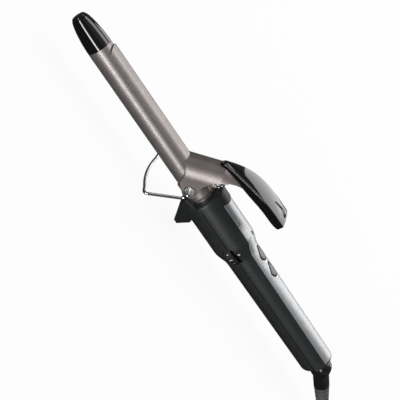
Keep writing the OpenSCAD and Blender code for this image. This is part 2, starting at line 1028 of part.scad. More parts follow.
rib_groove = 1.5;
rib_deep = 0.9;
relief_end_r = cord_r + 1.5;
function relief_r(z) = neck_r - 0.1 + (relief_end_r - neck_r) * (z - neck_end) / (relief_len - neck_end);
module strain_relief() {
    color([0.10, 0.10, 0.105])
        at_exit()
            rotate_extrude()
                polygon(concat(
                    [[cord_r + cord_gap, neck_end]],
                    [for (i = [0 : ribs - 1])
                        let (z = neck_end + i * rib_pitch, crest = z + rib_pitch - rib_groove)
                        each [[relief_r(z), z], [relief_r(crest), crest],
                              [relief_r(crest) - rib_deep, crest + 0.3],
                              [relief_r(z + rib_pitch) - rib_deep, z + rib_pitch - 0.3]]],
                    [[relief_r(relief_len), neck_end + ribs * rib_pitch],
                     [relief_r(relief_len), relief_len], [cord_r + cord_gap, relief_len]]));
}

floor_z = -beak_drop;

// Route of the cord: inside the ball, down to the floor, on to the coil
lead_route = [[199, 0, -2.7], [233, 0, -20], [238, 0, -22.5], [242.3, 0.5, -24.3],
    [247.6, 1.9, -25.7], [252.7, 4.3, -26.2], [257.3, 7.5, -26.35], [266.2, 15, -26.35]];
// Route of the free end, from the coil's top turn to the plug that lies on it
tail_route = [[327, 7, -6.85], [333.3, -6.2, -5.9], [334.7, -18, -3.7], [333.8, -26.2, -1.8],
    [331.2, -32.6, -0.3], [326.9, -38.2, 1.1], [321.4, -42.4, 2.3], [315, -45.3, 3], [309, -46, 3.25],
    [306, -46, 3.25]];
coil_x = 293;
coil_y = -17;
coil_turn_r = 35;
coil_band = 20;
coil_out_r = coil_turn_r + coil_band / 2;
coil_in_r = coil_turn_r - coil_band / 2;
coil_h = 4 * cord_d;

// A round tube swept along a route that never runs straight up
tube_sides = 12;
function unit(v) = v / norm(v);
function tube_ring(route, i) =
    let (t = unit(route[min(i + 1, len(route) - 1)] - route[max(i - 1, 0)]),
         side = unit(cross([0, 0, 1], t)),
         n = cross(t, side))
    [for (k = [0 : tube_sides - 1])
        let (a = k * 360 / tube_sides)
        route[i] + cord_r * (sin(a) * side + cos(a) * n)];
module cord_tube(route) {
    last = len(route) - 1;
    polyhedron(
        points = [for (i = [0 : last]) each tube_ring(route, i)],
        faces = concat(
            [[for (k = [0 : tube_sides - 1]) k]],
            [[for (k = [tube_sides - 1 : -1 : 0]) last * tube_sides + k]],
            [for (i = [0 : last - 1], k = [0 : tube_sides - 1])
                let (next = (k + 1) % tube_sides)
                [i * tube_sides + next, i * tube_sides + k,
                 (i + 1) * tube_sides + k, (i + 1) * tube_sides + next]]));
}

module cord_lead() {
    color([0.06, 0.06, 0.06])
        cord_tube(lead_route);
}

// Outer shape of the stored coil
module cord_coil() {
    color([0.06, 0.06, 0.06])
        translate([coil_x, coil_y, floor_z])
            rotate_extrude()
                translate([coil_in_r, 0]) {
                    translate([cord_r, 0])
                        square([coil_out_r - coil_in_r - 2 * cord_r, coil_h]);
                    translate([0, cord_r])
                        square([coil_out_r - coil_in_r, coil_h - 2 * cord_r]);
                    for (r = [cord_r, coil_out_r - coil_in_r - cord_r], z = [cord_r, coil_h - cord_r])
                        translate([r, z])
                            circle(r = cord_r, $fn = 32);
                }
}

module cord_tail() {
    color([0.06, 0.06, 0.06])
        cord_tube(tail_route);
}

tie_w = 12;
tie_t = 1.2;
module cord_tie() {
    span = coil_out_r - coil_in_r;
    color([0.09, 0.09, 0.09])
        translate([coil_x - coil_out_r - tie_t, coil_y - tie_w / 2, floor_z])
            difference() {
                cube([span + 2 * tie_t, tie_w, coil_h + tie_t]);
                translate([tie_t, -1, -1])
                    cube([span, tie_w + 2, coil_h + 1]);
            }
}

// Flat two-pin plug
plug_len = 36;
plug_w = 27;
plug_t = 13.5;
plug_pin_r = 2;
plug_pin_len = 19;
plug_pin_root = 8;
plug_root_r = 1.5;
plug_pin_gap = 18.6;
plug_x = 308;
plug_rest_gap = 0.1;
plug_y = tail_route[len(tail_route) - 1][1];
plug_face = plug_x - plug_len;
plug_z = floor_z + coil_h + plug_rest_gap + plug_t / 2;
module plug_body() {
    color([0.05, 0.05, 0.05])
        difference() {
            hull() {
                for (side = [-1, 1])
                    translate([plug_face, plug_y + side * (plug_w - plug_t) / 2, plug_z])
                        x_rod(0, 14, plug_t / 2);
                translate([plug_face, plug_y, plug_z])
                    x_rod(20, plug_len, plug_t / 2 - 1.4);
            }
            translate([0, plug_y, tail_route[len(tail_route) - 1][2]])
                x_rod(plug_x - 2, plug_x + 2, cord_r + 0.05);
            for (side = [-1, 1])
                translate([0, plug_y + side * plug_pin_gap / 2, plug_z])
                    x_rod(plug_face - 1, plug_face + plug_pin_root, plug_root_r);
        }
}

module plug_pins() {
    color([0.78, 0.76, 0.70])
        for (side = [-1, 1])
            translate([0, plug_y + side * plug_pin_gap / 2, plug_z]) {
                x_rod(plug_face - plug_pin_len + 1.2, plug_face, plug_pin_r);
                x_rod(plug_face - 1, plug_face + plug_pin_root, plug_root_r);
                translate([plug_face - plug_pin_len, 0, 0])
                    rotate([0, 90, 0])
                        cylinder(h = 1.2, r1 = plug_pin_r - 0.8, r2 = plug_pin_r);
            }
}

barrel_tube();
tip_cap();
heater_core();
heat_spreaders();
thermistor();
heater_leads();
barrel_root();
pivot_screws();
collar();
lower_shell();
upper_shell();
top_trim();
lamp_lens();
circuit_board();
tact_switches();
wheel_pot();
shell_screws();
contact_carrier();
clamp_spring();
cord_lead();
cord_coil();
cord_tail();
cord_tie();
plug_body();
plug_pins();
clamp_spoon();
lever_arm();
thumb_rest();
thumb_rivet();
stand_wire();
dial_wheel();
power_button();
mode_button();
swivel_ball();
strain_relief();
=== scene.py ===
import json
import math

import bmesh
import bpy
from mathutils import Matrix, Vector


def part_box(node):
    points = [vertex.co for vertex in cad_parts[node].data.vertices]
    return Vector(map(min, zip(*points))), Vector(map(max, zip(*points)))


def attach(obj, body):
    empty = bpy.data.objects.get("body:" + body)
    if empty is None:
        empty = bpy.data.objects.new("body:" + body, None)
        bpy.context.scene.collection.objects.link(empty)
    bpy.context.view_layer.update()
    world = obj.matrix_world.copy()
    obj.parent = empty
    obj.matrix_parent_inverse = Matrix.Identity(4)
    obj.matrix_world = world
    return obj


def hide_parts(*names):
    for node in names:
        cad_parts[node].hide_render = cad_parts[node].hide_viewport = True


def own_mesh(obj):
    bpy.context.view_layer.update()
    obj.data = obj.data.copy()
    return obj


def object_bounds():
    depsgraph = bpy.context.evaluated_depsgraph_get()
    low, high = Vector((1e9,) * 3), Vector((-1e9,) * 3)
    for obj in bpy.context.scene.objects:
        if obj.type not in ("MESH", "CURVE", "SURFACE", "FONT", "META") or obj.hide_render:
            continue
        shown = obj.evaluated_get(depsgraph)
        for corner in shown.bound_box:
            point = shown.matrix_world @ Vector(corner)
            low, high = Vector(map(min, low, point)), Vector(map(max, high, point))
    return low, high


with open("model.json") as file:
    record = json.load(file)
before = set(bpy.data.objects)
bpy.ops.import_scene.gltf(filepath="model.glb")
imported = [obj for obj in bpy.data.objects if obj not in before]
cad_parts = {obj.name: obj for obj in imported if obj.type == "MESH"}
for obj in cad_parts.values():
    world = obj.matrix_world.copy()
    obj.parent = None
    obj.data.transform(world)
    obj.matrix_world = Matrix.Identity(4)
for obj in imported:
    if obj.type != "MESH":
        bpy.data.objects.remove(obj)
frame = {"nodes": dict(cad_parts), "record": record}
cad_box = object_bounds()

# Sizes are in millimetres and angles in degrees, unless the line says otherwise.

MM = 0.001


def mm(*values):
    """A point given in millimetres, in Blender's metres."""
    return Vector(values) * MM


def span(node):
    """Lowest and highest corner of a CAD node, in millimetres."""
    low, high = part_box(node)
    return low / MM, high / MM


def add_object(name, data):
    """A new object, linked to the scene."""
    made = bpy.data.objects.new(name, data)
    bpy.context.scene.collection.objects.link(made)
    return made


# ---- Camera ----------------------------------------------------------------

CAMERA_TARGET = mm(15.9, 0, -3.7)
CAMERA_DISTANCE = 993.5 * MM
CAMERA_AZIMUTH = math.radians(25.67)
CAMERA_ELEVATION = math.radians(25.06)
CAMERA_ROLL = math.radians(66.74)
CAMERA_LENS, SENSOR_WIDTH = 119.75, 36
NEAREST, FARTHEST = 0.05, 50  # metres


def make_camera():
    """The photograph's camera: from the near side, tip end, turned on its side."""
    flat = math.cos(CAMERA_ELEVATION)
    back = Vector((
        -math.sin(CAMERA_AZIMUTH) * flat,
        -math.cos(CAMERA_AZIMUTH) * flat,
        math.sin(CAMERA_ELEVATION),
    ))
    level = Vector((0, 0, 1)).cross(back).normalized()
    upright = back.cross(level)
    right = math.cos(CAMERA_ROLL) * level + math.sin(CAMERA_ROLL) * upright
    up = back.cross(right)
    camera = add_object("camera", bpy.data.cameras.new("camera"))
    camera.data.lens = CAMERA_LENS
    camera.data.sensor_width = SENSOR_WIDTH
    camera.data.clip_start = NEAREST
    camera.data.clip_end = FARTHEST
    place = Matrix((right, up, back)).transposed().to_4x4()
    place.translation = CAMERA_TARGET + back * CAMERA_DISTANCE
    camera.matrix_world = place
    bpy.context.scene.camera = camera


make_camera()

# ---- Node trees ------------------------------------------------------------


def add_node(tree, kind, values=None):
    """A new shader node; values says what some of its inputs are set to."""
    made = tree.nodes.new("ShaderNode" + kind)
    for socket, value in (values or {}).items():
        made.inputs[socket].default_value = value
    return made


def maths(tree, operation, first, second):
    """What a maths node makes of a socket and another socket or number."""
    made = add_node(tree, "Math")
    made.operation = operation
    tree.links.new(first, made.inputs[0])
    if isinstance(second, float):
        made.inputs[1].default_value = second
    else:
        tree.links.new(second, made.inputs[1])
    return made.outputs[0]


def colour_ramp(tree, factor, *stops):
    """The colour that a ramp through (position, colour) stops gives for a factor."""
    ramp = add_node(tree, "ValToRGB")
    elements = ramp.color_ramp.elements
    for element, (position, colour) in zip(elements, (stops[0], stops[-1])):
        element.position = position
        element.color = (*colour, 1)
    for position, colour in stops[1:-1]:
        elements.new(position).color = (*colour, 1)
    tree.links.new(factor, ramp.inputs["Fac"])
    return ramp.outputs["Color"]


def end_in_mix(tree, share, first, second, output):
    """Ends a tree in a mix of two shaders, with this share of the second."""
    mix = add_node(tree, "MixShader")
    tree.links.new(share, mix.inputs["Fac"])
    tree.links.new(first.outputs[0], mix.inputs[1])
    tree.links.new(second.outputs[0], mix.inputs[2])
    tree.links.new(mix.outputs[0], add_node(tree, output).inputs["Surface"])


def shown_to_eye(tree, glossy_share):
    """1 for camera and transmission rays, glossy_share for glossy ones, else 0."""
    rays = add_node(tree, "LightPath").outputs
    eye = maths(tree, "MAXIMUM", rays["Is Camera Ray"], rays["Is Transmission Ray"])
    gloss = maths(tree, "MULTIPLY", rays["Is Glossy Ray"], glossy_share)
    return maths(tree, "MAXIMUM", eye, gloss)


# ---- Stage: floor, world and lamps -----------------------------------------

WHITE = (1, 1, 1, 1)
FLOOR_Z = cad_box[0].z  # metres
FLOOR_HALF = 12  # metres
PAPER, PAPER_IN_GLOSS = (0.62, 0.62, 0.62, 1), (0.07, 0.07, 0.07, 1)
GLOW, GLOW_SHARE = 1.08, 0.86

# The room's light by the height that a ray points to: 0 level, 1 straight up.
ROOM = ((0.0, (0.10, 0.10, 0.105)), (0.7, (0.045, 0.045, 0.047)), (1.0, (0.24, 0.24, 0.245)))
ROOM_WHITE_IN_GLOSS = 0.02

# Name, place in metres, the point it is aimed at, width and height in metres, radiance.
LAMPS = (
    ("lamp_near", (-0.25, -1.15, 0.09), (10, 0, 0), 1.6, 0.26, 9.5),
    ("lamp_top", (0.0, 0.35, 1.15), (10, 0, 0), 1.4, 0.6, 2.2),
    ("lamp_far", (0.68, 1.10, 0.72), (40, 0, 0), 1.4, 0.95, 1.55),
)


def make_floor():
    """A wide floor: white to the eye but for a soft shadow, dark to glossy rays."""
    mesh = bpy.data.meshes.new("floor")
    corners = ((-1, -1), (1, -1), (1, 1), (-1, 1))
    mesh.from_pydata([(x * FLOOR_HALF, y * FLOOR_HALF, FLOOR_Z) for x, y in corners],
                     [], [(0, 1, 2, 3)])
    paper = bpy.data.materials.new("floor_paper")
    paper.use_nodes = True
    tree = paper.node_tree
    tree.nodes.clear()
    tone = add_node(tree, "Mix")
    tone.data_type = "RGBA"
    tone.inputs["A"].default_value = PAPER
    tone.inputs["B"].default_value = PAPER_IN_GLOSS
    rays = add_node(tree, "LightPath").outputs
    tree.links.new(rays["Is Glossy Ray"], tone.inputs["Factor"])
    cloth = add_node(tree, "BsdfDiffuse")
    tree.links.new(tone.outputs["Result"], cloth.inputs["Color"])
    glow = add_node(tree, "Emission", {"Color": WHITE, "Strength": GLOW})
    share = maths(tree, "MULTIPLY", shown_to_eye(tree, 0.0), GLOW_SHARE)
    end_in_mix(tree, share, cloth, glow, "OutputMaterial")
    mesh.materials.append(paper)
    floor = add_object("floor", mesh)


def make_world():
    """White to the eye; as a light, a dim room that is palest straight overhead."""
    world = bpy.data.worlds.new("studio")
    bpy.context.scene.world = world
    world.use_nodes = True
    tree = world.node_tree
    tree.nodes.clear()
    split = add_node(tree, "SeparateXYZ")
    tree.links.new(add_node(tree, "TexCoord").outputs["Generated"], split.inputs[0])
    room = add_node(tree, "Background")
    tree.links.new(colour_ramp(tree, split.outputs["Z"], *ROOM), room.inputs["Color"])
    white = add_node(tree, "Background", {"Color": WHITE})
    end_in_mix(tree, shown_to_eye(tree, ROOM_WHITE_IN_GLOSS), room, white, "OutputWorld")


def softbox(name, centre, aim, width, height, radiance):
    """A rectangular lamp, unseen itself; at a radiance of 1 it looks like white paper."""
    data = bpy.data.lights.new(name, "AREA")
    data.shape = "RECTANGLE"
    data.size = width
    data.size_y = height
    data.energy = radiance * math.pi * width * height
    lamp = add_object(name, data)
    lamp.location = centre
    lamp.rotation_euler = (aim - centre).to_track_quat("-Z", "Y").to_euler()
    lamp.visible_camera = False


def make_lamps():
    """A softbox on the near side, one overhead and one on the far side."""
    for name, centre, aim, width, height, radiance in LAMPS:
        softbox(name, Vector(centre), mm(*aim), width, height, radiance)


make_floor()
make_world()
make_lamps()

# ---- Materials -------------------------------------------------------------

COAT_ROUGHNESS, LEAST_ROUGHNESS = 0.06, 0.02
TINT_FROM, TINT_TO = 0.35, 0.65
PATCH_DETAIL, GRAIN_DETAIL = 4, 3


def noise(tree, where, scale, detail):
    """The value of a noise texture at a place."""
    made = add_node(tree, "TexNoise", {"Scale": scale, "Detail": detail})
    tree.links.new(where, made.inputs["Vector"])
    return made.outputs["Fac"]


def material(name, colour, metallic=0.0, roughness=0.5, vary=0.08, patch=90.0, grain=900.0,
             bump=0.0, spread=0.05, coat=0.0, stretch=(1, 1, 1), level=0.5):
    """A surface whose colour, roughness and relief all come from noise.

    The colour varies by the share vary over patches; the roughness varies by spread and
    the surface by bump, over a finer grain. patch and grain are the noises' scales.
    """
    made = bpy.data.materials.new(name)
    made.use_nodes = True
    tree = made.node_tree
    surface = tree.nodes["Principled BSDF"].inputs
    surface["Metallic"].default_value = metallic
    surface["Coat Weight"].default_value = coat
    surface["Coat Roughness"].default_value = COAT_ROUGHNESS
    surface["Specular IOR Level"].default_value = level
    scale = add_node(tree, "Mapping", {"Scale": stretch})
    tree.links.new(add_node(tree, "TexCoord").outputs["Object"], scale.inputs["Vector"])
    patches = noise(tree, scale.outputs[0], patch, PATCH_DETAIL)
    fine = noise(tree, scale.outputs[0], grain, GRAIN_DETAIL)
    darker = [c * (1 - vary) for c in colour]
    lighter = [min(1, c * (1 + vary)) for c in colour]
    tint = colour_ramp(tree, patches, (TINT_FROM, darker), (TINT_TO, lighter))
    tree.links.new(tint, surface["Base Color"])
    rough = add_node(tree, "MapRange", {"To Min": max(LEAST_ROUGHNESS, roughness - spread),
                                        "To Max": roughness + spread})
    tree.links.new(fine, rough.inputs["Value"])
    tree.links.new(rough.outputs[0], surface["Roughness"])
    if bump:
        relief = add_node(tree, "Bump", {"Strength": 1, "Distance": bump * MM})
        tree.links.new(fine, relief.inputs["Height"])
        tree.links.new(relief.outputs[0], surface["Normal"])
    return made


# One look for each of the record's material slots.
FINISHES = {
    "barrel_metal": dict(colour=(0.40, 0.362, 0.35), metallic=0.8, roughness=0.42,
                         spread=0.03, vary=0.05),
    "lever_metal": dict(colour=(0.34, 0.302, 0.287), metallic=0.8, roughness=0.46,
                        spread=0.03, vary=0.06),
    "gloss_black": dict(colour=(0.004, 0.004, 0.0045), roughness=0.07, spread=0.004, coat=0.9),
    "satin_black": dict(colour=(0.021, 0.0225, 0.0235), roughness=0.42, bump=0.004, grain=2200),
    "dial_black": dict(colour=(0.02, 0.02, 0.021), roughness=0.4, bump=0.008, grain=2200),
    "trim_silver": dict(colour=(0.62, 0.63, 0.64), metallic=0.8, roughness=0.38,
                        spread=0.03, vary=0.03),
    "screw_metal": dict(colour=(0.80, 0.80, 0.79), metallic=1.0, roughness=0.12, spread=0.04),
    "spring_steel": dict(colour=(0.74, 0.74, 0.73), metallic=1.0, roughness=0.18),
    "heater_ceramic": dict(colour=(0.78, 0.76, 0.70), roughness=0.6, bump=0.02),
    "spreader_alu": dict(colour=(0.70, 0.71, 0.72), metallic=1.0, roughness=0.35,
                         stretch=(0.1, 1, 1)),
    "sensor_bead": dict(colour=(0.55, 0.20, 0.04), roughness=0.15),
    "lead_sleeve": dict(colour=(0.76, 0.75, 0.71), roughness=0.8, bump=0.05, grain=1600),
    "lamp_red": dict(colour=(0.022, 0.004, 0.004), roughness=0.35, spread=0.03, level=0.25),
    "board_green": dict(colour=(0.03, 0.13, 0.05), roughness=0.4, patch=300),
    "switch_black": dict(colour=(0.03, 0.03, 0.032), roughness=0.4),
    "carrier_resin": dict(colour=(0.40, 0.34, 0.20), roughness=0.5),
    "cord_pvc": dict(colour=(0.017, 0.017, 0.018), roughness=0.45, bump=0.01, grain=1500),
    "relief_rubber": dict(colour=(0.10, 0.10, 0.103), roughness=0.45, bump=0.004),
    "tie_strap": dict(colour=(0.02, 0.02, 0.021), roughness=0.85, bump=0.08, grain=1800),
    "plug_moulding": dict(colour=(0.018, 0.018, 0.019), roughness=0.4, bump=0.01),
    "pin_brass": dict(colour=(0.72, 0.69, 0.60), metallic=1.0, roughness=0.2),
    "button_grey": dict(colour=(0.25, 0.25, 0.255), metallic=0.2, roughness=0.4, spread=0.03),
}

# Looks for pieces that differ from the rest of their slot.
VARIANTS = {
    "screw_satin": dict(colour=(0.78, 0.78, 0.77), metallic=0.85, roughness=0.36, spread=0.03),
    "swivel_black": dict(colour=(0.010, 0.010, 0.011), roughness=0.24, spread=0.02, coat=0.5),
    # A dark matte black: real rubber for the keys' gaskets, and painted shade on the dark rings
    # at the pivot screws.
    "gasket_and_painted_shade_black": dict(colour=(0.012, 0.012, 0.013), roughness=0.7, level=0.2),
    "print_white": dict(colour=(0.82, 0.82, 0.81), roughness=0.5, vary=0.03),
}

materials = {name: material(name, **look) for name, look in (FINISHES | VARIANTS).items()}


def dress(piece, look):
    """Gives a piece one finish, in place of any that it has; its slot stays."""
    piece.data.materials.clear()
    piece.data.materials.append(materials[look])


def dress_cad():
    """Gives each CAD node the finish that the record names for it, but for the screws."""
    for part in frame["record"]["subparts"]:
        dress(frame["nodes"][part["node"]], part["material_slot"])
    dress(frame["nodes"]["pivot_screws"], "screw_satin")


dress_cad()

# ---- Making pieces ---------------------------------------------------------

WELD = 1e-7  # metres
CORNER_SHARE = 0.48  # the most that a rounded corner takes of the line on either side


def finish_piece(piece, body, slot):
    """Gives a new piece its material and ties it to its CAD body."""
    dress(piece, slot)
    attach(piece, body)
    return piece


def mesh_piece(name, points, faces, body, slot, crease=35):
    """A mesh from points in millimetres, shaded smooth but for edges over crease degrees."""
    mesh = bpy.data.meshes.new(name)
    mesh.from_pydata([Vector(p) * MM for p in points], [], faces)
    work = bmesh.new()
    work.from_mesh(mesh)
    bmesh.ops.remove_doubles(work, verts=work.verts, dist=WELD)
    bmesh.ops.recalc_face_normals(work, faces=work.faces)
    work.to_mesh(mesh)
    work.free()
    mesh.polygons.foreach_set("use_smooth", [True] * len(mesh.polygons))
    mesh.set_sharp_from_angle(angle=math.radians(crease))
    return finish_piece(add_object(name, mesh), body, slot)


def curve_piece(name, points, radius, body, slot, sides):
    """A round bar or cord: one open spline with a bevel."""
    data = bpy.data.curves.new(name, "CURVE")
    data.dimensions = "3D"
    data.bevel_depth = radius * MM
    data.bevel_resolution = sides
    data.use_fill_caps = True
    spline = data.splines.new("POLY")
    spline.points.add(len(points) - 1)
    for spot, p in zip(spline.points, points):
        spot.co = (*(Vector(p) * MM), 1)
    spline.use_smooth = True
    return finish_piece(add_object(name, data), body, slot)


def skin(rings, caps=True):
    """Points and faces of a surface through closed rings of as many points each."""
    count = len(rings[0])
    points = [p for ring in rings for p in ring]
    faces = []
    for i in range(len(rings) - 1):
        for k in range(count):
            n = (k + 1) % count
            faces.append((i * count + k, i * count + n,
                          (i + 1) * count + n, (i + 1) * count + k))
    if caps:
        faces.append(tuple(range(count)))
        faces.append(tuple(range(len(points) - count, len(points))))
    return points, faces


def hoop(rings):
    """Points and faces of a hoop, whose last ring joins its first."""
    return skin(rings + [rings[0]], caps=False)


def joined(forms):
    """Points and faces of several forms as one."""
    points, faces = [], []
    for more_points, more_faces in forms:
        faces += [tuple(i + len(points) for i in face) for face in more_faces]
        points += more_points
    return points, faces


def circle(steps):
    """Cosine and sine of each of the steps round a full turn."""
    return [(math.cos(math.tau * k / steps), math.sin(math.tau * k / steps))
            for k in range(steps)]


def lathe(profile, place, steps):
    """A turned form: profile is (along, radius) pairs, turned about X, then placed."""
    return skin([[place @ Vector((along, radius * c, radius * s)) for c, s in circle(steps)]
                 for along, radius in profile])


def arc(centre, radius, start, end, steps):
    """Points on an arc in a plane, as pairs."""
    turns = [math.radians(start + (end - start) * i / steps) for i in range(steps + 1)]
    return [(centre[0] + radius * math.cos(a), centre[1] + radius * math.sin(a)) for a in turns]


def rounded_line(points, radii, steps):
    """A line through points, each inner corner rounded to its radius where there is room."""
    points = [Vector(p) for p in points]
    line = [points[0]]
    for before, corner, after, radius in zip(points, points[1:], points[2:], radii):
        back = (before - corner).normalized()
        on = (after - corner).normalized()
        room = min((before - corner).length, (after - corner).length) * CORNER_SHARE
        reach = min(radius / math.tan(back.angle(on) / 2), room)
        for k in range(steps + 1):
            t = k / steps
            line.append(corner + back * reach * (1 - t) ** 2 + on * reach * t ** 2)
    return line + [points[-1]]


def ease(share):
    """A smooth step from 0 to 1 as share goes from 0 to 1."""
    return (1 - math.cos(math.pi * max(0.0, min(1.0, share)))) / 2


# ---- Sizes shared with the CAD model ---------------------------------------

HEAD_R, GRIP_R, TAIL_R = 17.0, 13.9, 13.0
HEAD_END, GRIP_START, HANDLE_END = 57.0, 72.0, 188.4


def handle_r(x):
    """Radius of the handle at x."""
    if x <= HEAD_END:
        return HEAD_R
    if x <= GRIP_START:
        return HEAD_R + (GRIP_R - HEAD_R) * ease((x - HEAD_END) / (GRIP_START - HEAD_END))
    return GRIP_R + (TAIL_R - GRIP_R) * (x - GRIP_START) / (HANDLE_END - GRIP_START)


BALL_X, BALL_R = 193.4, 9.0
EXIT_SLOPE = math.radians(27)
AT_EXIT = Matrix.Translation((BALL_X, 0, 0)) @ Matrix.Rotation(EXIT_SLOPE, 4, "Y")
RELIEF_LEN, NECK_END, NECK_R = 44.0, 20.0, 6.4

# ---- Cord ------------------------------------------------------------------

CORD_R = 3.25
CORD_LOW = FLOOR_Z / MM + CORD_R
LAYER = 2 * CORD_R
LAYERS = 4
TOP_LAYER = (LAYERS - 1) * LAYER

# The coil: its middle, the radii that its line runs between, and the angles where the lead
# comes in and the tail goes out. Its turns: in all, across a whole layer, and to climb one.
COIL_X, COIL_Y = 293.0, -17.0
COIL_OUT, COIL_MID, COIL_IN = 41.75, 33.66, 27.75
COIL_START, COIL_END = 130.0, 35.0
COIL_TURNS, BAND, CLIMB = 7, 2.0, 0.35
TURN_STEPS, LEAST_STEPS, LEAD_STEPS, TAIL_STEPS = 28, 6, 18, 28
LEAD_BEND, PLUG_BEND = 32.0, 26.75

# The plug, on top of the coil: where the cord enters it, its face, and its middle.
PLUG_X, PLUG_FACE, PLUG_Y = 308.0, 272.0, -46.0
PLUG_T, PLUG_GAP, CORD_IN_PLUG = 13.5, 0.1, 2
PLUG_Z = FLOOR_Z / MM + LAYERS * LAYER + PLUG_GAP + PLUG_T / 2


def coil_line():
    """Two turns in and two out, then a shorter pair on top, with a climb between each two."""
    top_pair = (COIL_START - COIL_END) / 360 + COIL_TURNS - 2 * BAND - 3 * CLIMB
    # Turns, first and last radius, first and last layer.
    stages = ((BAND, COIL_OUT, COIL_IN, 0, 0), (CLIMB, COIL_IN, COIL_IN, 0, 1),
              (BAND, COIL_IN, COIL_OUT, 1, 1), (CLIMB, COIL_OUT, COIL_OUT, 1, 2),
              (top_pair / 2, COIL_OUT, COIL_MID, 2, 2), (CLIMB, COIL_MID, COIL_MID, 2, 3),
              (top_pair / 2, COIL_MID, COIL_OUT, 3, 3))
    line = []
    turned = 0.0
    for turns, r0, r1, layer0, layer1 in stages:
        steps = max(LEAST_STEPS, round(turns * TURN_STEPS))
        for k in range(steps):
            t = k / steps
            angle = math.radians(COIL_START - 360 * (turned + turns * t))
            r = r0 + (r1 - r0) * t
            z = CORD_LOW + LAYER * (layer0 + (layer1 - layer0) * (t + ease(t)) / 2)
            line.append((COIL_X + r * math.cos(angle), COIL_Y + r * math.sin(angle), z))
        turned += turns
    return line


def lead_line(start, end):
    """Off the boot and down to the floor, bent aside to meet the coil."""
    turn = math.radians(COIL_START - 90)
    run = (end[1] - LEAD_BEND * (1 - math.cos(turn))) / math.sin(turn)
    bend_x = end[0] - LEAD_BEND * math.sin(turn) - run * math.cos(turn)
    first, second = bend_x - start.x, LEAD_BEND * turn
    fall = math.tan(EXIT_SLOPE)
    settle = 2 * (start.z - CORD_LOW) / fall
    line = []
    for k in range(LEAD_STEPS):
        s = (first + second + run) * k / LEAD_STEPS
        a = max(0.0, min(turn, (s - first) / LEAD_BEND))
        past = max(0.0, s - first - second)
        x = start.x + min(s, first) + LEAD_BEND * math.sin(a) + past * math.cos(turn)
        y = LEAD_BEND * (1 - math.cos(a)) + past * math.sin(turn)
        z = start.z - fall * s + fall * s * s / (2 * settle) if s < settle else CORD_LOW
        line.append((x, y, z))
    return line


def tail_line():
    """Off the top turn and up into the plug that lies on the coil."""
    a0 = math.radians(COIL_END)
    x1 = COIL_X + COIL_OUT - PLUG_BEND
    y1 = PLUG_Y + PLUG_BEND
    first, second = COIL_OUT * a0, COIL_Y - y1
    third, last = PLUG_BEND * math.pi / 2, x1 - PLUG_X + CORD_IN_PLUG
    rise = PLUG_Z - CORD_LOW - TOP_LAYER
    line = []
    for k in range(TAIL_STEPS + 1):
        s = (first + second + third + last) * k / TAIL_STEPS
        if s < first:
            a = a0 - s / COIL_OUT
            x, y = COIL_X + COIL_OUT * math.cos(a), COIL_Y + COIL_OUT * math.sin(a)
        else:
            down = min(s - first, second)
            a = max(0.0, min(math.pi / 2, (s - first - second) / PLUG_BEND))
            over = max(0.0, s - first - second - third)
            x = x1 + PLUG_BEND * math.cos(a) - over
            y = COIL_Y - down - PLUG_BEND * math.sin(a)
        line.append((x, y, CORD_LOW + TOP_LAYER + rise * ease(s / (first + second + third))))
    return line


def make_cord():
    """The whole cord as one line, and the point where it leaves the boot."""
    start = AT_EXIT @ Vector((RELIEF_LEN, 0, 0))
    coil = coil_line()
    line = lead_line(start, coil[0]) + coil + tail_line()
    cord = curve_piece("mains_cord", line, CORD_R, "handle", "cord_pvc", sides=5)
    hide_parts("cord_lead", "cord_coil", "cord_tail")
    return cord, start


# ---- Plug and tie ----------------------------------------------------------

# Sections of the plug in front of its grip and behind it: distance behind the face, half
# width and half thickness. Then the same for the start of the grip's first rib, and the
# step from rib to rib. Along one rib, each section is so far back and so much smaller.
PLUG_FRONT = ((0, 12.6, 5.9), (0.5, 13.2, 6.5), (1.4, 13.5, 6.75), (3.4, 13.5, 6.75),
              (3.7, 13.2, 6.5), (4.1, 13.2, 6.5), (4.4, 13.5, 6.75), (9, 13.4, 6.75))
PLUG_BACK = ((25, 8.2, 6.0), (28, 6.6, 5.6), (31, 5.7, 5.4), (34.6, 5.35, 5.3),
             (35.6, 5.1, 5.0), (36, 4.4, 4.4))
GRIP_RIBS, GRIP_FIRST, GRIP_STEP = 5, (11, 13.2, 6.7), (2.6, -0.9, -0.12)
GRIP_RIB = ((0, 0, 0), (0.5, 0.6, 0.05), (1.3, 0.7, 0.05), (1.8, 0.2, 0))

# The power that squares a section at the face, what it loses, and where it has lost it.
PLUG_SQUARE, PLUG_ROUNDER, PLUG_ROUND_AT = 3.2, 1.2, 30

# A pin from its tip to its end inside the plug: distance behind the face, and radius.
PIN_OUTLINE = ((-19, 0.5), (-18.9, 0.9), (-18.5, 1.5), (-17.9, 1.9), (-17.2, 2.0),
               (-9, 2.0), (-8.9, 1.9), (-1, 1.9), (6, 1.5))
PIN_GAP = 18.6

# The tie: thickness, radius of its corners, lift off the floor, and slope of its edges.
TIE_THICK, TIE_BEND, TIE_LIFT, TIE_EDGE = 1.1, 3.4, 0.05, 0.2


def plug_ring(x, half_w, half_t):
    """A rounded section of the plug, squarish at the face and round at the cord."""
    power = PLUG_SQUARE - PLUG_ROUNDER * min(1, x / PLUG_ROUND_AT)
    return [(PLUG_FACE + x, PLUG_Y + half_w * math.copysign(abs(c) ** (2 / power), c),
             PLUG_Z + half_t * math.copysign(abs(s) ** (2 / power), s))
            for c, s in circle(steps=56)]


